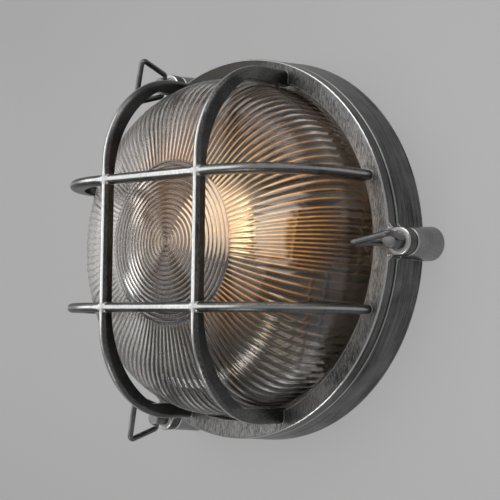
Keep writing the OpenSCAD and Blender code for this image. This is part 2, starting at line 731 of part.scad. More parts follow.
// A captive screw: tip, thread drawn at its pitch radius, groove for the ring, and drilled head
module thumb_screw(i) color("DarkSlateGray") face_out() at_lug(i) difference() {
    union() {
        translate([0, 0, screw_tip]) cylinder(r1 = thread_r - 0.6, r2 = thread_r, h = 0.7);
        translate([0, 0, screw_tip + 0.7])
            cylinder(r = thread_r, h = seat_d + bite - screw_tip - 0.7);
        translate([0, 0, seat_d]) cylinder(r = head_r, h = head_len - 0.6);
        translate([0, 0, head_end - 0.6]) cylinder(r1 = head_r, r2 = head_r - 0.6, h = 0.6);
    }
    translate([0, 0, clip_d - fit_gap]) difference() {
        cylinder(r = thread_r + 1, h = clip_t + 2 * fit_gap);
        translate([0, 0, -1]) cylinder(r = groove_r, h = clip_t + 3);
    }
    translate([0, 0, cross_d]) rotate(bail_angles[i] - lug_angles[i]) rotate([0, 90, 0])
        cylinder(r = wire_r + fit_gap, h = 4 * head_r, center = true);
}

module retaining_ring(i) color("Silver") face_out() at_lug(i) translate([0, 0, clip_d])
    difference() {
        cylinder(r = clip_r, h = clip_t);
        translate([0, 0, -1]) cylinder(r = groove_r + fit_gap, h = clip_t + 2);
        translate([0, -0.8, -1]) cube([2 * clip_r, 1.6, clip_t + 2]);
    }

// The bail: both ends of the wire meet in the cross hole and the wide side stands outwards
module bail(i) color("DarkSlateGray") face_out() at_lug(i) translate([0, 0, cross_d])
    rotate(bail_angles[i] - lug_angles[i]) rotate([90, 0, 0])
        bent_wire([[0.6, 0], [bail_foot, 0], [bail_half_w, bail_reach], [-bail_half_w, bail_reach],
            [-bail_foot, 0], [-0.6, 0]],
            [bail_bend_r, bail_corner_r, bail_corner_r, bail_bend_r], wire_r);

base_housing();
cage_ring();
glass_dome();
base_gasket();
front_gasket();
lamp_bracket();
bracket_screws();
lampholder_body();
lampholder_shell();
centre_contact();
holder_screws();
lamp();
terminal_block();
terminal_screws();
block_screw();
cable_grommet();
earth_screw();
earth_washer();
earth_terminal();
earth_lead();
live_lead();
neutral_lead();
thumb_screw(0);  // thumb_screw_right
thumb_screw(1);  // thumb_screw_upper_left
thumb_screw(2);  // thumb_screw_lower_left
retaining_ring(0);  // retaining_ring_right
retaining_ring(1);  // retaining_ring_upper_left
retaining_ring(2);  // retaining_ring_lower_left
bail(0);  // bail_right
bail(1);  // bail_upper_left
bail(2);  // bail_lower_left
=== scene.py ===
import math

import bmesh
import bpy
import numpy as np
from mathutils import Matrix, Vector


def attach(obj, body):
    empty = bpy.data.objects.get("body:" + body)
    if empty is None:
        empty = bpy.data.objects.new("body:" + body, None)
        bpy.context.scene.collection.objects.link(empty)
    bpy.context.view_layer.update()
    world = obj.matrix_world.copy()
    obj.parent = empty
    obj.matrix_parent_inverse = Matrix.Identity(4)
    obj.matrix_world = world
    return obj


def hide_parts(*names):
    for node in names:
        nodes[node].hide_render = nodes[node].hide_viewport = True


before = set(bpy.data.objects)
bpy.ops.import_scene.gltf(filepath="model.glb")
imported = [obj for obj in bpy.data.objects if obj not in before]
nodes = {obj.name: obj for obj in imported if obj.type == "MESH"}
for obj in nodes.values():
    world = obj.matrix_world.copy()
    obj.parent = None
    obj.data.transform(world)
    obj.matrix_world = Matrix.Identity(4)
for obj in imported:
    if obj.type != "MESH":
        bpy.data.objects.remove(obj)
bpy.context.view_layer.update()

print("loaded the model:", len(nodes), "nodes")

# Everything is in metres: x to the right, z up, and the light stands out of the wall along -y.
# Depth is the distance from the wall, so y = -depth.


# A mesh from an array of points and arrays of four-sided and three-sided faces.
def meshFromArrays(name, points, quads, tris=None, sharpAngle=40):
    faces = quads.tolist()
    if tris is not None:
        faces += tris.tolist()
    mesh = bpy.data.meshes.new(name)
    mesh.from_pydata(points.tolist(), [], faces)
    mesh.shade_smooth()
    mesh.set_sharp_from_angle(angle=math.radians(sharpAngle))
    piece = bpy.data.objects.new(name, mesh)
    bpy.context.scene.collection.objects.link(piece)
    return piece


# Four-sided faces between two closed rings of count points that start at first and second.
def ringFaces(first, second, count):
    i = np.arange(count)
    j = (i + 1) % count
    return np.stack([first + i, first + j, second + j, second + i], 1)


# Three-sided faces between a coarse ring and a ring with a whole multiple of its points: each fine edge
# goes to the coarse point before it, and one face closes each coarse edge.
def stepFaces(coarse, coarseCount, fine, fineCount):
    perEdge = fineCount // coarseCount
    j, i = np.meshgrid(np.arange(coarseCount), np.arange(perEdge), indexing="ij")
    fan = np.stack([coarse + j, fine + (perEdge * j + i + 1) % fineCount, fine + perEdge * j + i], -1)
    j = np.arange(coarseCount)
    close = np.stack([coarse + j, coarse + (j + 1) % coarseCount,
                      fine + (perEdge * j + perEdge) % fineCount], 1)
    return np.concatenate([fan.reshape(-1, 3), close])


# Three-sided faces from a pole to the ring of count points that starts at first.
def poleFaces(pole, first, count):
    i = np.arange(count)
    return np.stack([np.full(count, pole), first + i, first + (i + 1) % count], 1)


# One ring round the light's axis for each radius and depth: x = r cos a, y = -depth, z = r sin a. Radius
# and depth are columns, or arrays with a value for each point.
def turned(radius, depth, count):
    a = np.arange(count) * 2 * math.pi / count
    x = radius * np.cos(a)
    return np.stack([x, np.broadcast_to(-depth, x.shape), radius * np.sin(a)], -1)


# A round wire along a closed path. Each ring stands square to the path: point = path + r (cos t u +
# sin t v), where u is carried along from ring to ring so that the wire doesn't twist.
def closedWire(name, path, radius, sides):
    ahead = np.roll(path, -1, 0) - np.roll(path, 1, 0)
    ahead /= np.linalg.norm(ahead, axis=1)[:, None]
    u = np.zeros_like(path)
    start = np.cross(ahead[0], [0.31, 0.87, 0.39])            # any direction that isn't along the path
    for n, along in enumerate(ahead):
        start = start - along * np.dot(start, along)
        start /= np.linalg.norm(start)
        u[n] = start
    v = np.cross(ahead, u)
    t = np.arange(sides) * 2 * math.pi / sides
    rings = path[:, None] + radius * (np.cos(t)[:, None] * u[:, None] + np.sin(t)[:, None] * v[:, None])
    count = len(path)
    quads = [ringFaces(n * sides, (n + 1) % count * sides, sides) for n in range(count)]
    return meshFromArrays(name, rings.reshape(-1, 3), np.concatenate(quads)[:, ::-1])


# Makes the faces of a closed piece agree and point outwards.
def turnOut(piece):
    shape = bmesh.new()
    shape.from_mesh(piece.data)
    bmesh.ops.recalc_face_normals(shape, faces=shape.faces)
    shape.to_mesh(piece.data)
    shape.free()


# A copy of a CAD node with its points joined and its curved faces shaded smooth. The normals that the
# node brings are dropped first, because they would round its sharp edges.
def refined(node, sharpAngle=32):
    piece = nodes[node].copy()
    piece.data = nodes[node].data.copy()
    piece.name = "".join(w.capitalize() if n else w for n, w in enumerate(node.split("_")))
    piece.parent = None
    bpy.context.scene.collection.objects.link(piece)
    brought = piece.data.attributes.get("custom_normal")
    if brought:
        piece.data.attributes.remove(brought)
    shape = bmesh.new()
    shape.from_mesh(piece.data)
    bmesh.ops.remove_doubles(shape, verts=shape.verts, dist=2e-6)
    bmesh.ops.dissolve_degenerate(shape, edges=shape.edges, dist=1e-7)
    shape.to_mesh(piece.data)
    shape.free()
    piece.data.shade_smooth()
    piece.data.set_sharp_from_angle(angle=math.radians(sharpAngle))
    return piece


# Gives a piece its body and its material, and hides the nodes that it stands for.
def dress(piece, body, material, stands):
    piece.data.materials.clear()
    piece.data.materials.append(material)
    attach(piece, body)
    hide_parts(*stands)


# The angles are in degrees: to the left, upwards, and round the line of sight.
camera = dict(turn=42.4104, lift=3.4792, roll=0.7722, lens=99.55,
              place=(0.586304, -0.659667, -0.053475), clip=(0.01, 50))


def makeCamera(c):
    turn, lift, roll = (math.radians(c[k]) for k in ("turn", "lift", "roll"))
    ahead = Vector((-math.sin(turn) * math.cos(lift), math.cos(turn) * math.cos(lift), math.sin(lift)))
    level = Vector((math.cos(turn), math.sin(turn), 0))
    above = level.cross(ahead)
    right = level * math.cos(roll) + above * math.sin(roll)
    up = above * math.cos(roll) - level * math.sin(roll)
    data = bpy.data.cameras.new("photoCamera")
    data.lens = c["lens"]
    data.clip_start, data.clip_end = c["clip"]
    cam = bpy.data.objects.new("photoCamera", data)
    cam.matrix_world = Matrix((right, up, -ahead)).transposed().to_4x4()
    cam.matrix_world.translation = Vector(c["place"])
    bpy.context.scene.collection.objects.link(cam)
    bpy.context.scene.camera = cam


makeCamera(camera)
print("camera made")


dome = dict(
    frontDepth=0.0918, crownRadius=0.350, shoulderRadius=0.040, draft=math.radians(1.1),
    sideRadius=0.1029, faceDepth=0.0311, wall=0.003,
    flangeRadius=0.1132, flangeBack=0.0213, flangeFront=0.0260, flangeCorner=0.0004, rootWidth=0.0014,
    flutes=120, fluteHeight=0.0006, stepsPerFlute=8,
    riseLength=0.0046, firstSideDepth=0.033,        # the flutes rise out of the flange over this length
    endRadii=(0.0505, 0.0500, 0.0497, 0.0493, 0.0489), sunkRadius=0.0487, sinkWidth=0.0014,
    panelRadius=0.0485, ribs=17, ribHeight=0.00046, stepsPerRib=7,
    insideRadii=(0.008, 0.020, 0.034, 0.048), coarse=240,
)


# The outside is a drafted side, a shoulder arc and a crown arc, all tangent. It is moved out along its
# normal by a flute, height times radius over side radius times one minus the square of the place across
# the flute, and by ribs of the same section on the round panel.
def makeDome(d):
    tilt = d["draft"]
    crownMiddle = d["frontDepth"] - d["crownRadius"]
    sideOff = (d["sideRadius"] * math.cos(tilt) + d["faceDepth"] * math.sin(tilt)
               - d["shoulderRadius"] - crownMiddle * math.sin(tilt))
    along = math.sqrt((d["crownRadius"] - d["shoulderRadius"]) ** 2 - sideOff ** 2)
    shoulderMiddle = np.array([sideOff * math.cos(tilt) - along * math.sin(tilt),
                               crownMiddle + sideOff * math.sin(tilt) + along * math.cos(tilt)])
    crownEdge = math.atan2(shoulderMiddle[1] - crownMiddle, shoulderMiddle[0])

    # Each gives the points and the outward directions of one stretch, at depth t under the surface.
    def side(depth, t):
        r = d["sideRadius"] - t / math.cos(tilt) - (depth - d["faceDepth"]) * math.tan(tilt)
        return np.stack([r, depth], -1), np.tile([math.cos(tilt), math.sin(tilt)], (len(depth), 1))

    def shoulder(a, t):
        way = np.stack([np.cos(a), np.sin(a)], -1)
        return shoulderMiddle + (d["shoulderRadius"] - t) * way, way

    def crown(r, t):
        way = np.stack([r / d["crownRadius"], np.sqrt(1 - (r / d["crownRadius"]) ** 2)], -1)
        return np.stack([r * (1 - t / d["crownRadius"]),
                         crownMiddle + (d["crownRadius"] - t) * way[:, 1]], -1), way

    shoulderStart = shoulderMiddle[1] + d["shoulderRadius"] * math.sin(tilt)
    shoulderEnd = shoulderMiddle[0] + d["shoulderRadius"] * math.cos(crownEdge)
    fineCount = d["flutes"] * d["stepsPerFlute"]
    riseEnd = d["flangeFront"] + d["riseLength"]
    parts = [side(np.concatenate([np.linspace(d["flangeFront"], riseEnd, 5),
                                  np.linspace(d["firstSideDepth"], shoulderStart, 6)[:-1]]), 0),
             shoulder(np.linspace(tilt, crownEdge, 22), 0),
             crown(np.concatenate([np.linspace(shoulderEnd, d["endRadii"][0], 8)[1:],
                                   d["endRadii"][1:]]), 0)]
    base = np.concatenate([p for p, _ in parts])
    way = np.concatenate([w for _, w in parts])
    fade = np.clip((base[:, 1] - d["flangeFront"]) / d["riseLength"], 0, 1)
    fade = fade * fade * (3 - 2 * fade)
    sink = np.clip((base[:, 0] - d["sunkRadius"]) / d["sinkWidth"], 0, 1)
    amount = fade * np.sqrt(sink) * d["fluteHeight"] * base[:, 0] / d["sideRadius"]
    u = (np.arange(fineCount) / d["stepsPerFlute"]) % 1.0
    u = np.minimum(u, 1 - u) * 2                      # 0 on the ridge, 1 in the valley
    lift = amount[:, None] * (1 - u ** 2)[None, :]
    fluted = turned(base[:, :1] + way[:, :1] * lift, base[:, 1:] + way[:, 1:] * lift, fineCount)

    steps = d["ribs"] * d["stepsPerRib"]
    p, w = crown(d["panelRadius"] * np.arange(steps, 0, -1) / steps, 0)
    v = np.abs(np.arange(steps, 0, -1) / d["stepsPerRib"] % 1.0 - 0.5) * 2
    p = p + w * (d["ribHeight"] * (1 - v ** 2))[:, None]
    panel = turned(p[:, :1], p[:, 1:], d["coarse"])

    corner = d["flangeCorner"]
    flange = np.array([[d["flangeRadius"] - corner, d["flangeBack"]],
                       [d["flangeRadius"], d["flangeBack"] + corner],
                       [d["flangeRadius"], d["flangeFront"] - corner],
                       [d["flangeRadius"] - corner, d["flangeFront"]],
                       [d["sideRadius"] + d["rootWidth"], d["flangeFront"]]])
    inside = np.concatenate([crown(np.array(d["insideRadii"]), d["wall"])[0],
                             shoulder(np.linspace(crownEdge, tilt, 12), d["wall"])[0],
                             side(np.linspace(shoulderStart, d["flangeBack"], 6)[1:], d["wall"])[0],
                             flange])
    coarse = turned(inside[:, :1], inside[:, 1:], d["coarse"])

    middle = np.zeros(1)
    poles = [[0, -crown(middle, t)[0][0, 1], 0] for t in (d["wall"], 0)]
    points = np.concatenate([coarse.reshape(-1, 3), fluted.reshape(-1, 3), panel.reshape(-1, 3), poles])
    c, n = d["coarse"], fineCount
    flutedAt = len(coarse) * c
    panelAt = flutedAt + len(fluted) * n
    poleIn = panelAt + len(panel) * c
    quads = [ringFaces(k * c, (k + 1) * c, c) for k in range(len(coarse) - 1)]
    quads += [ringFaces(flutedAt + k * n, flutedAt + (k + 1) * n, n) for k in range(len(fluted) - 1)]
    quads += [ringFaces(panelAt + k * c, panelAt + (k + 1) * c, c) for k in range(len(panel) - 1)]
    tris = [poleFaces(poleIn, 0, c)[:, [0, 2, 1]],
            stepFaces((len(coarse) - 1) * c, c, flutedAt, n),
            stepFaces(panelAt, c, flutedAt + (len(fluted) - 1) * n, n)[:, ::-1],
            poleFaces(poleIn + 1, panelAt + (len(panel) - 1) * c, c)]
    return meshFromArrays("glassDome", points, np.concatenate(quads)[:, ::-1],
                          np.concatenate(tris), 42)


socketOf = {
    "color": "Base Color", "metallic": "Metallic", "roughness": "Roughness", "ior": "IOR",
    "specular": "Specular IOR Level", "transmission": "Transmission Weight", "normal": "Normal",
    "coat": "Coat Weight", "coatRoughness": "Coat Roughness", "glow": "Emission Color",
    "glowStrength": "Emission Strength",
}


# A material's node tree with short calls for the nodes that the finishes below use.
class Shade:

    def __init__(self, name):
        self.material = bpy.data.materials.new(name)
        self.material.use_nodes = True
        self.tree = self.material.node_tree
        self.tree.nodes.clear()
        self.out = self.node("ShaderNodeOutputMaterial")
        self.body = self.node("ShaderNodeBsdfPrincipled")
        self.cover(self.body.outputs[0])

    def node(self, kind):
        return self.tree.nodes.new(kind)

    def link(self, source, target):
        self.tree.links.new(source, target)

    def feed(self, target, value):
        if isinstance(value, bpy.types.NodeSocket):
            self.link(value, target)
        else:
            target.default_value = value

    def put(self, **values):
        for key, value in values.items():
            self.feed(self.body.inputs[socketOf[key]], value)

    def cover(self, shader):
        self.link(shader, self.out.inputs["Surface"])

    def math(self, operation, a, b=0.5):
        n = self.node("ShaderNodeMath")
        n.operation = operation
        self.feed(n.inputs[0], a)
        self.feed(n.inputs[1], b)
        return n.outputs[0]

    def times(self, first, *others):
        for other in others:
            first = self.math("MULTIPLY", first, other)
        return first

    def plus(self, a, b):
        return self.math("ADD", a, b)

    def minus(self, a, b):
        return self.math("SUBTRACT", a, b)

    def size(self, a):
        return self.math("ABSOLUTE", a)

    # The distance from nought to the point (a, b).
    def length(self, a, b):
        return self.math("SQRT", self.plus(self.times(a, a), self.times(b, b)))

    def vectorMath(self, operation, a, b):
        n = self.node("ShaderNodeVectorMath")
        n.operation = operation
        self.feed(n.inputs[0], a)
        self.feed(n.inputs[1], b)
        return n.outputs["Value"]

    def place(self):
        return self.node("ShaderNodeTexCoord").outputs["Object"]

    # The surface's own normal, as the three numbers of its direction in the model.
    def facing(self):
        return self.node("ShaderNodeNewGeometry").outputs["Normal"]

    # One on the back of a face, nought on its front.
    def behind(self):
        return self.node("ShaderNodeNewGeometry").outputs["Backfacing"]

    def split(self, vector):
        n = self.node("ShaderNodeSeparateXYZ")
        self.link(vector, n.inputs[0])
        return n.outputs[0], n.outputs[1], n.outputs[2]

    def joined(self, x, y, z):
        n = self.node("ShaderNodeCombineXYZ")
        for target, value in zip(n.inputs, (x, y, z)):
            self.feed(target, value)
        return n.outputs[0]

    def stretched(self, vector, scale, turn):
        n = self.node("ShaderNodeMapping")
        self.link(vector, n.inputs[0])
        n.inputs["Scale"].default_value = scale
        n.inputs["Rotation"].default_value = [math.radians(t) for t in turn]
        return n.outputs[0]

    def noise(self, vector, scale, detail, roughness, warp=0.0):
        n = self.node("ShaderNodeTexNoise")
        self.link(vector, n.inputs["Vector"])
        n.inputs["Scale"].default_value = scale
        n.inputs["Detail"].default_value = detail
        n.inputs["Roughness"].default_value = roughness
        n.inputs["Distortion"].default_value = warp
        return n.outputs["Fac"]

    # Follows the value from one end of the span to the other, and stays at each end beyond it.
    def between(self, value, span, to=(0.0, 1.0), smooth=False):
        n = self.node("ShaderNodeMapRange")
        n.interpolation_type = "SMOOTHSTEP" if smooth else "LINEAR"
        self.link(value, n.inputs["Value"])
        for key, number in zip(("From Min", "From Max", "To Min", "To Max"), (*span, *to)):
            n.inputs[key].default_value = number
        return n.outputs[0]

    def mixed(self, share, a, b):
        n = self.node("ShaderNodeMix")
        n.data_type = "RGBA"
        self.feed(n.inputs["Factor"], share)
        self.feed(n.inputs[6], a)
        self.feed(n.inputs[7], b)
        return n.outputs[2]

    def mixedShader(self, share, a, b):
        n = self.node("ShaderNodeMixShader")
        for target, source in zip(n.inputs, (share, a, b)):
            self.link(source, target)
        return n.outputs[0]

    def clear(self, color=(1.0, 1.0, 1.0, 1.0)):
        n = self.node("ShaderNodeBsdfTransparent")
        n.inputs[0].default_value = color
        return n.outputs[0]

    def bumped(self, height, distance, strength, under=None):
        n = self.node("ShaderNodeBump")
        self.link(height, n.inputs["Height"])
        n.inputs["Distance"].default_value = distance
        n.inputs["Strength"].default_value = strength
        if under is not None:
            self.link(under, n.inputs["Normal"])
        return n.outputs[0]

    def rounded(self, radius):
        n = self.node("ShaderNodeBevel")
        n.samples = 4
        n.inputs["Radius"].default_value = radius
        return n.outputs[0]

    # Nought on a flat face, and more the sharper the edge beside it is.
    def edge(self, softNormal):
        return self.minus(1.0, self.vectorMath("DOT_PRODUCT", softNormal, self.facing()))


def rgb(r, g, b):
    return (r, g, b, 1.0)


# In the settings below a pair of places is where a share is least and where it is most. X, Y and Z in a
# name are places, Radius is the distance from the light's axis, and Tilt is a part of the face's normal.
castMetal = dict(
    patinaAndShade=rgb(0.026, 0.027, 0.028),        # dark colour left in the brushed hollows, and painted shade on the bars' sides
    worn=rgb(0.72, 0.72, 0.71),             # rubbed edges and ridges, and painted highlights
    inner=rgb(0.040, 0.037, 0.033),         # unpolished metal, and painted shade on the ring's face
    slitShade=rgb(0.006, 0.006, 0.006),         # painted shade in the slit between the base and the ring
    roughness=(0.42, 0.26), roughLines=(0.3, 0.7),      # in the hollows, and on the streaks
    streakAlong=3.2, streakAcross=1500.0,   # noise for each radian round the axis, and for each metre out
    faceTilt=(0.75, 0.95), faceScale=(2000, 500, 380), faceTurn=(0, 38, 0),
    blotchScale=38.0, blotchShare=0.38, metalValue=(0.38, 0.60),
    pitScale=2300.0, pitShare=0.40, pitValue=(0.60, 0.74), pitHeight=0.5,
    fleckShare=0.16, fleckValue=(0.56, 0.64), fleckLines=(0.45, 0.60),
    edgeRadius=0.0006, wearEdge=(0.004, 0.09), wearLines=(0.25, 0.62), leastWear=0.45,
    wearRoughness=-0.08, grain=0.00006, grainStrength=0.8,
    slitFrontY=(-0.0245, -0.0241), slitBackY=(-0.02245, -0.02275), slitRadius=(0.1135, 0.1140),
    slitShare=0.9,
)


# Brushed cast metal: streaks along the brushing, blotches, dark pits and rubbed edges. The brushing runs
# round the light's axis, but straight over the flat faces.
class CastShade(Shade):

    def __init__(self, name, s):
        super().__init__(name)
        self.s = s
        self.at = self.place()
        self.x, self.y, self.z = self.split(self.at)
        self.angle = self.math("ARCTAN2", self.z, self.x)
        self.radius = self.length(self.x, self.z)
        self.nx, self.ny, self.nz = self.split(self.facing())
        path = self.joined(self.times(self.angle, s["streakAlong"]),
                           self.times(self.radius, s["streakAcross"]),
                           self.times(self.y, s["streakAcross"]))
        onFace = self.between(self.size(self.ny), s["faceTilt"])
        streaks = self.noise(path, 1.0, 5.0, 0.7)
        straight = self.noise(self.stretched(self.at, s["faceScale"], s["faceTurn"]), 1.0, 4.0, 0.65)
        self.lines = self.plus(self.times(streaks, self.minus(1.0, onFace)), self.times(straight, onFace))
        self.pits = self.noise(self.at, s["pitScale"], 2.0, 0.6)
        self.soft = self.rounded(s["edgeRadius"])
        self.makeGround()

    # The colour and roughness that both castings have all over.
    def makeGround(self):
        s = self.s
        share = s["blotchShare"]
        blotch = self.noise(self.at, s["blotchScale"], 3.0, 0.55, 0.4)
        value = self.plus(self.times(self.lines, 1.0 - share), self.times(blotch, share))
        self.color = self.mixed(self.between(value, s["metalValue"]), s["patinaAndShade"], s["metal"])
        flecks = self.between(self.pits, s["fleckValue"], (0.0, s["fleckShare"]))
        self.tint(self.times(flecks, self.between(self.lines, s["fleckLines"])), "worn")
        dark = self.between(self.minus(1.0, self.pits), s["pitValue"])
        self.tint(self.times(dark, s["pitShare"]), "patinaAndShade")
        wear = self.times(self.between(self.edge(self.soft), s["wearEdge"], smooth=True),
                          self.between(self.lines, s["wearLines"], (s["leastWear"], 1.0)))
        self.tint(wear, "worn")
        self.rough = self.between(self.lines, s["roughLines"], s["roughness"])
        self.roughen(wear, s["wearRoughness"])

    def tint(self, share, color):
        self.color = self.mixed(share, self.color, self.s[color])

    def roughen(self, share, amount):
        self.rough = self.plus(self.rough, self.times(share, amount))

    # Adds painted shade in the slit between the base and the ring, and closes the material.
    def finished(self):
        s = self.s
        slit = self.times(self.between(self.y, s["slitBackY"]), self.between(self.y, s["slitFrontY"]),
                          self.between(self.radius, s["slitRadius"]), s["slitShare"])
        self.tint(slit, "slitShade")
        height = self.plus(self.lines, self.times(self.pits, s["pitHeight"]))
        self.put(color=self.color, metallic=1.0, roughness=self.rough,
                 normal=self.bumped(height, s["grain"], s["grainStrength"], self.soft))
        return self.material


baseMetal = dict(
    castMetal, metal=rgb(0.200, 0.201, 0.201),
    innerRadius=0.1138, backTilt=0.5, innerRoughness=0.10,
    cornerRadius=(0.1176, 0.1186), cornerY=(-0.0216, -0.0224), cornerHighlight=0.7,
    lugRadius=(0.1212, 0.1228), lugLight=0.26,
)


# The base: unpolished inside, with a painted highlight on its front corner and lugs lightened with painted
# light.
def makeBaseMetal(name, s):
    m = CastShade(name, s)
    inside = m.times(m.math("LESS_THAN", m.radius, s["innerRadius"]),
                     m.math("LESS_THAN", m.ny, s["backTilt"]))
    m.tint(inside, "inner")
    m.roughen(inside, s["innerRoughness"])
    # Painted highlight on the front corner, and painted light on the lugs.
    corner = m.times(m.between(m.radius, s["cornerRadius"]), m.between(m.y, s["cornerY"]))
    m.tint(m.times(corner, s["cornerHighlight"]), "worn")
    m.tint(m.between(m.radius, s["lugRadius"], (0.0, s["lugLight"])), "worn")
    return m.finished()


cageMetal = dict(
    castMetal, metal=rgb(0.180, 0.179, 0.176),
    # The ring's face: a painted highlight at the right, strongest beside the glass and weaker low down,
    # some more painted highlight on its foot, and painted shade at the left and the top, less on the foot.
    ringTilt=(-0.93, -0.98), ringY=(-0.0285, -0.0300), ringRadius=(0.1040, 0.1060), ringRoughness=0.12,
    faceLines=(0.38, 0.62), lineBright=(0.03, 0.17), mostBright=0.95,
    scratchScale=(2600, 600, 380), scratchValue=(0.56, 0.70), scratchBright=0.24,
    faceLightX=(0.020, 0.090), faceLightShare=0.9, faceLightZ=(-0.070, -0.010), leastFaceLight=0.05,
    glassRadius=(0.1125, 0.1085), glassX=(0.088, 0.108), glassBright=(0.3, 3.0),
    footZ=(-0.090, -0.106), footBright=(0.04, 0.20), faceShadeX=(0.075, 0.015), faceShadeShare=0.9, faceShadeAtFoot=0.3,
    # The ring's outer corner, with a painted highlight, and the bars: rubbed ridges that also carry a
    # painted highlight, a little less where they cross.
    cornerTilt=(0.97, 0.90), cornerEndTilt=(0.20, 0.40), cornerRadius=(0.1158, 0.1164),
    cornerY=(-0.0294, -0.0298),
    barOffset=0.0386, ridgeEdge=(0.0034, 0.0028), ridgeTilt=0.02, ridgeLean=(0.38, 0.10),
    uprightShare=0.84, levelShare=0.74, crossingShare=0.4, ridgeY=(-0.0325, -0.0345),
    ridgeLines=(0.2, 0.6), leastRidge=0.6, ridgeBright=0.85, ridgeRoughness=-0.21,
    # The bars' sides, darkened with painted shade.
    flankY=(-0.0320, -0.0330), flankRadius=(0.106, 0.103), flankTilt=(0.35, 0.15), flankShare=0.55,
    # The seats under the heads of the thumb screws, lightened with a painted highlight where their recess
    # lies in shade.
    lugCircle=0.1248, lugCount=3, seatRadius=(0.0078, 0.0074), seatY=(-0.024, -0.025), seatShare=0.8,
    seatRoughness=0.25,
)


def addRingFace(m, s):
    face = m.times(m.between(m.ny, s["ringTilt"]), m.between(m.y, s["ringY"]),
                   m.between(m.radius, s["ringRadius"]))
    scratch = m.noise(m.stretched(m.at, s["scratchScale"], s["faceTurn"]), 1.0, 3.0, 0.6, 0.5)
    # Painted highlight along the lines and scratches, strongest at the right and beside the glass, weaker
    # low down, with some more on the foot.
    bright = m.plus(m.between(m.lines, s["faceLines"], s["lineBright"]),
                    m.between(scratch, s["scratchValue"], (0.0, s["scratchBright"])))
    besideGlass = m.times(m.between(m.radius, s["glassRadius"], s["glassBright"]),
                          m.between(m.x, s["glassX"]))
    bright = m.times(bright, m.plus(m.between(m.x, s["faceLightX"], (0.0, s["faceLightShare"])), besideGlass),
                     m.between(m.z, s["faceLightZ"], (s["leastFaceLight"], 1.0)))
    foot = m.between(m.z, s["footZ"])
    bright = m.plus(bright, m.times(foot, m.between(m.lines, s["faceLines"], s["footBright"])))
    # Painted shade at the left and the top, less on the foot.
    paintedShade = m.times(face, m.between(m.x, s["faceShadeX"], (0.0, s["faceShadeShare"])),
                   m.minus(1.0, m.times(foot, 1.0 - s["faceShadeAtFoot"])))
    m.tint(paintedShade, "inner")
    m.tint(m.times(face, m.math("MINIMUM", bright, s["mostBright"])), "worn")
    m.roughen(face, s["ringRoughness"])


# The ridge of a bar is a band along x or z whose normal leans little to either side.
def addBars(m, s):
    bands = []
    for across, tilt, share in ((m.x, m.nx, s["uprightShare"]), (m.z, m.nz, s["levelShare"])):
        offMiddle = m.size(m.minus(m.size(across), s["barOffset"]))
        lean = m.size(m.minus(tilt, s["ridgeTilt"]))
        bands.append(m.times(m.between(offMiddle, s["ridgeEdge"], (0.0, share)),
                             m.between(lean, s["ridgeLean"], smooth=True)))
    ridge = m.minus(m.math("MAXIMUM", *bands), m.times(*bands, s["crossingShare"]))
    ridge = m.times(ridge, m.between(m.y, s["ridgeY"]))
    bend = m.size(m.ny)
    corner = m.times(m.between(bend, s["cornerTilt"]), m.between(bend, s["cornerEndTilt"]),
                     m.between(m.radius, s["cornerRadius"]), m.between(m.y, s["cornerY"]))
    # Rubbed ridges that carry a painted highlight, and a painted highlight on the ring's outer corner.
    rubbedAndSheen = m.times(m.math("MAXIMUM", ridge, corner),
                     m.between(m.lines, s["ridgeLines"], (s["leastRidge"], 1.0)))
    # Painted shade on the bars' sides.
    flank = m.times(m.between(m.y, s["flankY"]), m.between(m.radius, s["flankRadius"]),
                    m.between(bend, s["flankTilt"]))
    m.tint(m.times(flank, s["flankShare"]), "patinaAndShade")
    m.tint(m.times(rubbedAndSheen, s["ridgeBright"]), "worn")
    m.roughen(rubbedAndSheen, s["ridgeRoughness"])


# All lugs are folded on the first one, and the seat is a disc round the middle of its screw, with a painted
# highlight.
def addScrewSeats(m, s):
    step = 2 * math.pi / s["lugCount"]
    turns = m.plus(m.math("DIVIDE", m.angle, step), 0.5)
    folded = m.times(m.minus(m.math("FRACT", turns), 0.5), step)
    seatX = m.minus(m.times(m.radius, m.math("COSINE", folded)), s["lugCircle"])
    seatZ = m.times(m.radius, m.math("SINE", folded))
    seat = m.times(m.between(m.length(seatX, seatZ), s["seatRadius"]), m.between(m.y, s["seatY"]))
    m.tint(m.times(seat, s["seatShare"]), "worn")
    m.roughen(seat, s["seatRoughness"])


def makeCageMetal(name, s):
    m = CastShade(name, s)
    addRingFace(m, s)
    addBars(m, s)
    addScrewSeats(m, s)
    return m.finished()


wireMetal = dict(
    dark=rgb(0.11, 0.11, 0.112), metal=rgb(0.20, 0.20, 0.20), worn=rgb(0.60, 0.59, 0.57),
    markScale=900.0, blotchScale=120.0, blotchShare=0.6, metalValue=(0.38, 0.66),
    edgeRadius=0.0006, wearEdge=(0.01, 0.12), roughness=(0.28, 0.36), roughMarks=(0.3, 0.7),
    markHeight=0.000006, markStrength=0.5,
)


# Dark polished steel with fine drawing marks and bright rubbed places.
def makeWireMetal(name, s):
    m = Shade(name)
    place = m.place()
    marks = m.noise(place, s["markScale"], 4.0, 0.7)
    blotch = m.noise(place, s["blotchScale"], 3.0, 0.6, 0.3)
    value = m.plus(m.times(marks, 1.0 - s["blotchShare"]), m.times(blotch, s["blotchShare"]))
    color = m.mixed(m.between(value, s["metalValue"]), s["dark"], s["metal"])
    soft = m.rounded(s["edgeRadius"])
    color = m.mixed(m.between(m.edge(soft), s["wearEdge"], smooth=True), color, s["worn"])
    m.put(color=color, metallic=1.0, roughness=m.between(marks, s["roughMarks"], s["roughness"]),
          normal=m.bumped(marks, s["markHeight"], s["markStrength"], soft))
    return m.material


plain = dict(fineRatio=12, mottleValue=(0.35, 0.65), fineValue=(0.3, 0.7), smoother=0.85, rougher=1.15,
             height=0.00002, strength=0.6)


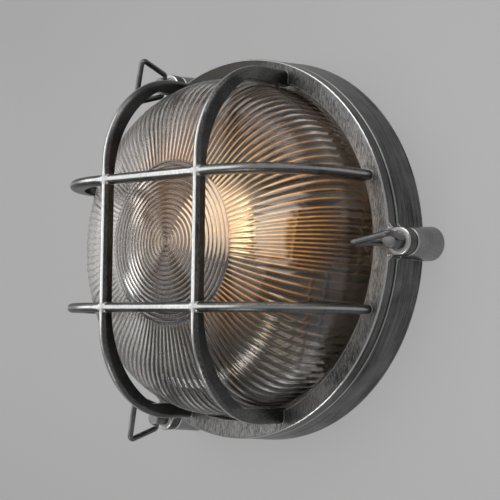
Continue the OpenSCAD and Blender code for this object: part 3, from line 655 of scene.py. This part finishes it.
# A two-tone mottled finish for the small parts inside: plastic, rubber, plated steel, brass.
def makePlain(name, color, second, scale, roughness, metallic=0.0):
    m = Shade(name)
    place = m.place()
    mottle = m.noise(place, scale, 4.0, 0.6)
    fine = m.noise(place, scale * plain["fineRatio"], 3.0, 0.6)
    ends = (roughness * plain["smoother"], roughness * plain["rougher"])
    m.put(color=m.mixed(m.between(mottle, plain["mottleValue"]), color, second), metallic=metallic,
          roughness=m.between(fine, plain["fineValue"], ends),
          normal=m.bumped(fine, plain["height"], plain["strength"]))
    return m.material


# Each reach is a pair of distances, the painted amber glow's from its own place and the others from
# lampPlace. The width and the shades are parts of a flute or a rib, and doubleAngle is in degrees, up or
# down from the right.
ribbedGlass = dict(
    tint=rgb(0.93, 0.915, 0.895), tintFilm=(0.4, 0.7), filmTint=0.97, filmScale=240.0,
    shadow=rgb(0.86, 0.84, 0.82), ior=1.5, roughness=0.02, roughFilm=(0.3, 0.8), innerRoughness=0.12,
    middleDepth=0.03,                               # a place on the axis that is inside the dome
    lampPlace=(0.036, -0.086, 0.016),
    # Painted lamp light in the glass: the colours of the glowing lines, where they reach and how strong
    # they are.
    lines=rgb(1.0, 0.39, 0.05), lineReach=(0.077, 0.046), lineStrength=0.76, lineWidth=0.17,
    lineInnerRadius=0.0497, lineTopZ=(0.078, 0.050), lineTopLeast=0.3,
    lineFootZ=(-0.062, -0.034), lineFootLeast=0.2, doubleAngle=(12, 7),
    lineFilm=(0.25, 0.75), lineWaver=(0.6, 1.3),
    nearLines=rgb(1.0, 0.66, 0.31), nearReach=(0.050, 0.030), farReach=(0.108, 0.075), farStrength=0.05,
    # Painted lamp light: the amber tint of the glass beside the glowing lines.
    paintedAmber=rgb(1.0, 0.60, 0.22),
    # Painted shade for the glass beside the glowing lines.
    shade=rgb(0.34, 0.19, 0.08), shadeReach=(0.086, 0.052), shadeShare=0.85,
    ridgeShade=(0.26, 0.40), grooveShade=(0.24, 0.40),
    # The painted amber glow inside the dome round the lamp.
    veil=rgb(1.0, 0.50, 0.17), insideGlowStrength=0.13, insideGlowPlace=(0.006, -0.088, 0.022),
    insideGlowReach=(0.070, 0.004),
    dust=0.05, dustX=(-0.020, -0.070), dustRadius=(0.0490, 0.0500), dustEndRadius=(0.100, 0.092),
)


# What the lit lamp and the years do to the dome. Painted lamp light glows in thin warm lines along the
# valleys between the flutes, doubled at the right, with a painted amber tint beside them, and painted shade
# darkens the glass beside the lines. Inside lies a painted amber glow, and outside, at the left, a faint
# film of dust.
def addGlow(m, s, place, film, tint, polished):
    x, y, z = m.split(place)
    nx, ny, nz = m.split(m.facing())
    outward = m.plus(m.plus(m.times(nx, x), m.times(nz, z)), m.times(ny, m.plus(y, s["middleDepth"])))
    outside = m.math("GREATER_THAN", m.times(outward, m.minus(1.0, m.times(m.behind(), 2.0))), 0.0)
    inside = m.minus(1.0, outside)
    roughness = m.plus(m.times(polished, outside), m.times(inside, s["innerRoughness"]))

    angle = m.math("ARCTAN2", z, x)
    radius = m.length(x, z)
    gap = m.vectorMath("DISTANCE", place, s["lampPlace"])
    across = m.math("FRACT", m.times(angle, dome["flutes"] / (2 * math.pi)))
    fromValley = m.size(m.minus(across, 0.5))                        # 0.5 on the ridges
    # The painted glow of the lines along the valleys.
    line = m.between(fromValley, (0.0, s["lineWidth"]), (1.0, 0.0), smooth=True)
    double = m.between(fromValley, (0.5, 0.5 - s["lineWidth"]), (1.0, 0.0), smooth=True)
    atRight = m.between(m.size(angle), [math.radians(t) for t in s["doubleAngle"]], smooth=True)
    line = m.times(m.math("MAXIMUM", line, m.times(double, atRight)),
                   m.math("GREATER_THAN", radius, s["lineInnerRadius"]), outside)
    reach = m.between(gap, s["lineReach"])
    near = m.times(reach, s["lineStrength"], m.between(z, s["lineTopZ"], (s["lineTopLeast"], 1.0)),
                   m.between(z, s["lineFootZ"], (s["lineFootLeast"], 1.0)))
    near = m.plus(near, m.times(m.between(gap, s["farReach"]), s["farStrength"]))
    lineGlow = m.times(line, m.times(near, m.between(film, s["lineFilm"], s["lineWaver"])))
    # Painted glow on the inside of the glass round the lamp.
    veil = m.between(m.vectorMath("DISTANCE", place, s["insideGlowPlace"]), s["insideGlowReach"])
    veil = m.times(m.math("POWER", veil, 2.0), inside, s["insideGlowStrength"])
    golden = m.mixed(m.between(gap, s["nearReach"]), s["lines"], s["nearLines"])

    panel = m.math("LESS_THAN", radius, dome["panelRadius"])
    beside = m.math("FRACT", m.times(radius, dome["ribs"] / dome["panelRadius"]))
    fromRib = m.size(m.minus(beside, 0.5))                           # 0.5 between two ribs
    # Painted shade beside the glowing lines and between the ribs, near the lamp.
    dim = m.math("MAXIMUM",
                 m.times(m.between(fromValley, s["ridgeShade"], smooth=True), m.minus(1.0, panel)),
                 m.times(m.between(fromRib, s["grooveShade"], smooth=True), panel))
    dim = m.times(dim, m.between(gap, s["shadeReach"]), m.times(outside, s["shadeShare"]))
    # Painted lamp light tints the glass amber along the lines.
    warm = m.mixed(m.times(line, reach), tint, s["paintedAmber"])
    dust = m.times(m.between(x, s["dustX"], (0.0, s["dust"])), m.between(radius, s["dustRadius"]),
                   m.between(radius, s["dustEndRadius"]))
    m.put(color=m.mixed(dim, warm, s["shade"]), transmission=m.minus(1.0, dust), roughness=roughness,
          glow=m.mixed(outside, s["veil"], golden), glowStrength=m.plus(lineGlow, veil))


# Pressed glass of slightly uneven tint and polish. Shadow and diffuse rays go straight through it, a
# little dimmed.
def makeGlass(name, s, lit):
    m = Shade(name)
    place = m.place()
    film = m.noise(place, s["filmScale"], 3.0, 0.6)
    second = rgb(*(s["filmTint"] * c for c in s["tint"][:3]))
    tint = m.mixed(m.between(film, s["tintFilm"]), s["tint"], second)
    polished = m.between(film, s["roughFilm"], (s["roughness"], s["roughness"] * 2))
    m.put(color=tint, transmission=1.0, ior=s["ior"], roughness=polished)
    if lit:
        addGlow(m, s, place, film, tint, polished)
    ray = m.node("ShaderNodeLightPath").outputs
    through = m.math("MAXIMUM", ray["Is Shadow Ray"], ray["Is Diffuse Ray"])
    m.cover(m.mixedShader(through, m.body.outputs[0], m.clear(s["shadow"])))
    return m.material


porcelain = dict(
    glaze=rgb(0.73, 0.735, 0.725), cloud=rgb(0.66, 0.665, 0.65), speck=rgb(0.42, 0.38, 0.33),
    cloudScale=60.0, cloudValue=(0.35, 0.65), cloudHeight=0.0004, speckScale=900.0, speckValue=(0.70, 0.76),
    darkBack=rgb(0.10, 0.075, 0.055), alongX=0.985, alongZ=-0.174, darkFrom=(0.068, 0.073),
)


# White glaze with fine specks, darker towards the bracket, which is along the turned holder's axis.
def makePorcelain(name, s):
    m = Shade(name)
    place = m.place()
    speck = m.noise(place, s["speckScale"], 2.0, 0.5)
    cloud = m.noise(place, s["cloudScale"], 3.0, 0.5)
    color = m.mixed(m.between(cloud, s["cloudValue"]), s["glaze"], s["cloud"])
    color = m.mixed(m.between(speck, s["speckValue"]), color, s["speck"])
    x, y, z = m.split(place)
    along = m.plus(m.times(x, s["alongX"]), m.times(z, s["alongZ"]))
    color = m.mixed(m.between(along, s["darkFrom"], smooth=True), color, s["darkBack"])
    m.put(color=color, roughness=0.22, specular=0.5, coat=0.6, coatRoughness=0.05,
          normal=m.bumped(cloud, s["cloudHeight"], 0.3))
    return m.material


glowing = dict(color=rgb(0.9, 0.85, 0.78), roughness=0.3, waver=(0.94, 1.06), waverScale=40.0)


# How strongly a lit surface glows: nearly even.
def glowLevel(m, place, strength):
    noise = m.noise(place, glowing["waverScale"], 2.0, 0.5)
    return m.times(m.between(noise, (0.3, 0.7), glowing["waver"]), strength)


def makeLitWire(name, color, strength):
    m = Shade(name)
    m.put(color=glowing["color"], roughness=glowing["roughness"], glow=color,
          glowStrength=glowLevel(m, m.place(), strength))
    return m.material


# Glass that glows round the hot place. Near is one minus distance over reach: the amber glow rises first,
# then the hot colour over it, and far from the place the glass is clear.
def makeLitBulb(name, s):
    m = Shade(name)
    place = m.place()
    near = m.between(m.vectorMath("DISTANCE", place, s["place"]), (s["reach"], s["core"]))
    core = m.between(near, s["hotNear"])
    rise = m.plus(m.times(m.between(near, s["amberNear"], smooth=True), s["amberShare"]),
                  m.times(core, 1.0 - s["amberShare"]))
    m.put(color=glowing["color"], roughness=glowing["roughness"], glow=m.mixed(core, s["amber"], s["hot"]),
          glowStrength=m.times(glowLevel(m, place, s["strength"]), rise))
    thin = m.between(near, s["thinNear"], (1.0, s["leastClear"]))
    through = m.math("MAXIMUM", thin, m.node("ShaderNodeLightPath").outputs["Is Shadow Ray"])
    m.cover(m.mixedShader(through, m.body.outputs[0], m.clear()))
    return m.material


earthSleeve = dict(green=rgb(0.02, 0.10, 0.025), yellow=rgb(0.26, 0.22, 0.03), windX=500.0, windY=900.0,
                   border=(-0.1, 0.1), grainScale=900.0, grain=0.00002)


# Green sleeve with a yellow stripe that winds along the lead.
def makeEarthSleeve(name, s):
    m = Shade(name)
    place = m.place()
    x, y, z = m.split(place)
    wind = m.math("SINE", m.plus(m.times(x, s["windX"]), m.times(y, s["windY"])))
    m.put(color=m.mixed(m.between(wind, s["border"]), s["green"], s["yellow"]), roughness=0.42,
          normal=m.bumped(m.noise(place, s["grainScale"], 4.0, 0.6), s["grain"], 0.5))
    return m.material


baseFinish = makeBaseMetal("castMetalRound", baseMetal)
cageFinish = makeCageMetal("castMetalCage", cageMetal)
wireFinish = makeWireMetal("darkWireSteel", wireMetal)
glassFinish = makeGlass("ribbedGlass", ribbedGlass, lit=True)
stemFinish = makeGlass("lampStemGlass", ribbedGlass, lit=False)
porcelainFinish = makePorcelain("glazedPorcelain", porcelain)
earthFinish = makeEarthSleeve("earthSleeve", earthSleeve)
rubberFinish = makePlain("blackRubber", rgb(0.018, 0.018, 0.018), rgb(0.035, 0.035, 0.034), 300.0, 0.7)
platedFinish = makePlain("zincPlate", rgb(0.13, 0.125, 0.11), rgb(0.20, 0.19, 0.15), 160.0, 0.34, 1.0)
screwFinish = makePlain("brightScrews", rgb(0.60, 0.60, 0.60), rgb(0.50, 0.50, 0.50), 400.0, 0.28, 1.0)
brassFinish = makePlain("plainBrass", rgb(0.68, 0.49, 0.21), rgb(0.60, 0.42, 0.17), 220.0, 0.3, 1.0)
# The terminal block is off-white plastic; its dark grey here is painted shade.
blockFinish = makePlain("terminalPlastic", rgb(0.17, 0.165, 0.155), rgb(0.13, 0.125, 0.115), 200.0, 0.45)
liveFinish = makePlain("brownSleeve", rgb(0.07, 0.03, 0.015), rgb(0.09, 0.038, 0.02), 400.0, 0.42)
neutralFinish = makePlain("blueSleeve", rgb(0.006, 0.014, 0.045), rgb(0.008, 0.017, 0.055), 400.0, 0.42)
print("materials made")


glassDome = makeDome(dome)
turnOut(glassDome)
dress(glassDome, "light", glassFinish, ["glass_dome"])
print("glass dome made:", len(glassDome.data.polygons), "faces")


for node, finish, slot in (("base_housing", baseFinish, "cast_base"),
                           ("cage_ring", cageFinish, "cast_cage")):
    dress(refined(node), "light", finish, [node])
print("castings dressed")


for where in ("right", "upper_left", "lower_left"):
    dress(refined("thumb_screw_" + where), where + "_screw", wireFinish,
          ["thumb_screw_" + where])
    dress(refined("bail_" + where, 50), where + "_bail", wireFinish, ["bail_" + where])
    dress(refined("retaining_ring_" + where), where + "_clip", wireFinish,
          ["retaining_ring_" + where])
print("thumb screws and bails dressed")


lamp = dict(
    turn=math.radians(-10), axisDepth=0.043, axisUp=0.017, holderRim=0.046, length=0.072,
    bulbRadius=0.026, tipAngle=0.03, neckRadius=0.0139, neckBend=0.045, neckSunk=0.001, bulbSides=72,
    capRadius=0.0129, capGap=0.0012, capBack=0.0714, capEnd=0.0070, capSides=48,
    threadPitch=0.00363, threadHeight=0.0005, threadSteps=60,
    # Distance from the cap's back and radius, for the rings that narrow it to its contact.
    capRings=((0.0055, 0.0112), (0.0040, 0.0079), (0.0030, 0.0053), (0.0002, 0.0039)),
)

filament = dict(
    shift=0.004, halfLength=0.014, bends=8, squareness=1.6, radius=0.0075, sway=0.001,
    wireRadius=0.0009, wireSides=8, steps=160, color=rgb(1.0, 0.56, 0.22), strength=4.0,
    # Place along the axis from the filament's middle and radius, for the rings of the glass stem.
    stemRings=((-0.016, 0.0012), (-0.015, 0.0018), (0.014, 0.0018), (0.030, 0.0050)),
    stemFoot=(0.0465, 0.0085), stemSides=32,
)

lampGlow = dict(
    amber=rgb(1.0, 0.50, 0.17), hot=rgb(1.0, 0.72, 0.40), strength=0.40, core=0.002, reach=0.036,
    amberShare=0.46, amberNear=(0.0, 0.5), hotNear=(0.20, 0.90), thinNear=(0.0, 0.35), leastClear=0.06,
    shift=(0.002, -0.018, 0.004),                   # the hot place, beside the lamp's axis
)


# The lamp lies along x and is then turned round the light's own axis.
def turnedInside(points):
    c, s = math.cos(lamp["turn"]), math.sin(lamp["turn"])
    x, y, z = np.moveaxis(np.asarray(points, float), -1, 0)
    return np.stack([x * c - z * s, y, x * s + z * c], -1)


# A point beside the lamp's axis: along it, towards the wall and up from it.
def besideLamp(along, back, up):
    return turnedInside([along, back - lamp["axisDepth"], up + lamp["axisUp"]]).tolist()


# A closed turned piece on the lamp's axis, with a pole at each end. Its rings are point = (x, depth +
# r cos a, up + r sin a), then turned. The radius is a column, or an array with a value for each point.
def closedTurn(name, along, radius, count):
    a = np.arange(count) * 2 * math.pi / count
    x = np.broadcast_to(along[:, None], (len(along), count))
    rings = turnedInside(np.stack([x, -lamp["axisDepth"] + radius * np.cos(a),
                                   lamp["axisUp"] + radius * np.sin(a)], -1))
    n = len(rings)
    ends = [besideLamp(along[0], 0, 0), besideLamp(along[-1], 0, 0)]
    points = np.concatenate([rings.reshape(-1, 3), ends])
    quads = np.concatenate([ringFaces(k * count, (k + 1) * count, count) for k in range(n - 1)])
    tris = np.concatenate([poleFaces(n * count, 0, count)[:, [0, 2, 1]],
                           poleFaces(n * count + 1, (n - 1) * count, count)])
    piece = meshFromArrays(name, points, quads, tris)
    turnOut(piece)
    return piece


# The outline is a round end of the bulb radius, a concave neck arc tangent to it and the neck.
def makeBulb(s):
    middle = s["holderRim"] - s["length"] + s["bulbRadius"]       # middle of the round end
    neckUp = s["neckRadius"] + s["neckBend"]
    reach = math.sqrt((s["neckBend"] + s["bulbRadius"]) ** 2 - neckUp ** 2)
    meet = math.atan2(neckUp, reach)                              # where the two arcs meet
    t = np.linspace(math.pi - s["tipAngle"], meet, 40)
    end = np.stack([middle + s["bulbRadius"] * np.cos(t), s["bulbRadius"] * np.sin(t)], -1)
    t = np.linspace(meet, math.pi / 2, 16)[1:]
    neck = np.stack([middle + reach - s["neckBend"] * np.cos(t), neckUp - s["neckBend"] * np.sin(t)], -1)
    outline = np.concatenate([end, neck, [[s["holderRim"] + s["neckSunk"], s["neckRadius"]]]])
    return closedTurn("lampBulb", outline[:, 0], outline[:, 1:], s["bulbSides"])


# The cap is turned with a thread: r = pitch radius + height sin(2 pi x / pitch - a).
def makeCap(s):
    x = np.linspace(s["holderRim"] + s["capGap"], s["capBack"] - s["capEnd"], s["threadSteps"])
    a = np.arange(s["capSides"]) * 2 * math.pi / s["capSides"]
    wave = s["capRadius"] - s["threadHeight"] + s["threadHeight"] * np.sin(
        2 * math.pi * x[:, None] / s["threadPitch"] - a[None, :])
    rings = np.array(s["capRings"])
    radius = np.concatenate([wave, np.repeat(rings[:, 1:], s["capSides"], 1)])
    along = np.concatenate([x, s["capBack"] - rings[:, 0]])
    return closedTurn("lampCap", along, radius, s["capSides"])


# A zigzag wire with eight bends round the axis, at x = middle + half length times a sine whose tops are
# cut off, and r = radius + sway cos(8 t). It stands round a glass stem.
def makeFilament(s, f):
    middle = s["holderRim"] - s["length"] + s["bulbRadius"] + f["shift"]
    t = np.arange(f["steps"]) * 2 * math.pi / f["steps"]
    x = middle + f["halfLength"] * np.clip(f["squareness"] * np.sin(f["bends"] / 2 * t), -1, 1)
    r = f["radius"] + f["sway"] * np.cos(f["bends"] * t)
    path = turnedInside(np.stack([x, -s["axisDepth"] + r * np.cos(t), s["axisUp"] + r * np.sin(t)], -1))
    wire = closedWire("lampFilament", path, f["wireRadius"], f["wireSides"])
    rings = np.array([(middle + along, radius) for along, radius in f["stemRings"]] + [f["stemFoot"]])
    return wire, closedTurn("lampStem", rings[:, 0], rings[:, 1:], f["stemSides"])


lampBulb = makeBulb(lamp)
lampCap = makeCap(lamp)
lampFilament, lampStem = makeFilament(lamp, filament)
bulbFinish = makeLitBulb("warmBulb", dict(lampGlow, place=besideLamp(*lampGlow["shift"])))
filamentFinish = makeLitWire("litFilament", filament["color"], filament["strength"])
for piece, finish in ((lampBulb, bulbFinish), (lampCap, brassFinish), (lampFilament, filamentFinish),
                      (lampStem, stemFinish)):
    dress(piece, "light", finish, ["lamp"])
print("lamp made")


insideFinishes = {
    "lampholder_body": porcelainFinish, "lampholder_shell": brassFinish, "centre_contact": brassFinish,
    "holder_screws": screwFinish, "lamp_bracket": platedFinish, "bracket_screws": screwFinish,
    "terminal_block": blockFinish, "terminal_screws": screwFinish, "block_screw": screwFinish,
    "cable_grommet": rubberFinish, "base_gasket": rubberFinish, "front_gasket": rubberFinish,
    "earth_screw": brassFinish, "earth_washer": screwFinish, "earth_terminal": screwFinish,
    "earth_lead": earthFinish, "live_lead": liveFinish, "neutral_lead": neutralFinish,
}
for node, finish in insideFinishes.items():
    dress(refined(node), "light", finish, [node])
print("inside parts dressed")


stage = dict(
    color=(0.43, 0.43, 0.43), toneScale=9.0, tone=(0.985, 1.015), grainScale=600.0, grain=0.0002,
    size=6.0, gap=0.0006,
    plainShare=0.7, plainStrength=0.44,             # the share of the wall that takes no light or shadow
    # Painted light on the wall: lighter to the right and darker up and down.
    riseX=(-0.30, 0.12), rise=(0.90, 1.07), fallZ=(0.06, 0.24), fall=(1.0, 0.90),
    world=0.36,
)

# All four shine on the light. Sizes are width and height, in metres, and powers are in watts.
lights = dict(
    keyLight=dict(place=(-1.6, -2.2, 1.10), size=(3.8, 3.6), power=52),
    leftLight=dict(place=(-2.6, -1.3, 0.2), size=(1.4, 2.6), power=10),
    lowLight=dict(place=(-0.2, -1.5, -1.9), size=(0.9, 0.6), power=10),
    topLight=dict(place=(0.4, -1.0, 2.1), size=(2.6, 1.4), power=20),
)

lampLight = dict(along=0.004, power=0.16, color=(1.0, 0.66, 0.36), radius=0.012)


# A painted finish for the wall. Part of it glows for camera, glossy and transmission rays with painted
# light, lighter to the right and darker up and down. Its back is clear, so that views from behind show the
# light.
def makeWallPaint(s):
    m = Shade("paintedWall")
    place = m.place()
    x, y, z = m.split(place)
    tone = m.node("ShaderNodeVectorMath")
    tone.operation = "SCALE"
    tone.inputs[0].default_value = s["color"]
    m.link(m.between(m.noise(place, s["toneScale"], 3.0, 0.5), (0.3, 0.7), s["tone"]), tone.inputs["Scale"])
    m.put(color=tone.outputs[0], roughness=0.85, specular=0.2,
          normal=m.bumped(m.noise(place, s["grainScale"], 3.0, 0.6), s["grain"], 0.25))
    even = m.node("ShaderNodeEmission")
    # Painted light: the wall's glow is lighter to the right and darker up and down.
    level = m.times(m.between(x, s["riseX"], s["rise"], smooth=True),
                    m.between(m.size(z), s["fallZ"], s["fall"], smooth=True), s["plainStrength"])
    m.link(level, even.inputs["Strength"])
    ray = m.node("ShaderNodeLightPath").outputs
    seen = m.math("MAXIMUM", ray["Is Camera Ray"],
                  m.math("MAXIMUM", ray["Is Glossy Ray"], ray["Is Transmission Ray"]))
    front = m.mixedShader(m.times(seen, s["plainShare"]), m.body.outputs[0], even.outputs[0])
    m.cover(m.mixedShader(m.behind(), front, m.clear()))
    return m.material


def makeWall(s):
    h = s["size"] / 2
    corners = np.array([[-h, s["gap"], -h], [h, s["gap"], -h], [h, s["gap"], h], [-h, s["gap"], h]])
    wall = meshFromArrays("wall", corners, np.array([[0, 1, 2, 3]]))
    wall.data.materials.append(makeWallPaint(s))


def makeLight(name, s):
    data = bpy.data.lights.new(name, "AREA")
    data.shape = "RECTANGLE"
    data.size, data.size_y = s["size"]
    data.energy = s["power"]
    lightObject = bpy.data.objects.new(name, data)
    lightObject.location = s["place"]
    lightObject.rotation_mode = "QUATERNION"
    lightObject.rotation_quaternion = (-Vector(s["place"])).to_track_quat("-Z", "Y")
    bpy.context.scene.collection.objects.link(lightObject)


# The light that the lit lamp throws on the parts round it.
def makeLampLight(s):
    data = bpy.data.lights.new("lampLight", "POINT")
    data.energy = s["power"]
    data.color = s["color"]
    data.shadow_soft_size = s["radius"]
    lightObject = bpy.data.objects.new("lampLight", data)
    lightObject.location = besideLamp(s["along"], 0, 0)
    lightObject.visible_camera = False
    lightObject.visible_glossy = False
    lightObject.visible_transmission = False
    bpy.context.scene.collection.objects.link(lightObject)


def makeWorld(level):
    world = bpy.data.worlds.new("studio")
    world.use_nodes = True
    back = world.node_tree.nodes["Background"]
    back.inputs[0].default_value = rgb(1, 1, 1)
    back.inputs[1].default_value = level
    bpy.context.scene.world = world


makeWall(stage)
makeWorld(stage["world"])
for name, settings in lights.items():
    makeLight(name, settings)
makeLampLight(lampLight)
print("stage and lights made")

view = bpy.context.scene.view_settings
view.view_transform = "Standard"
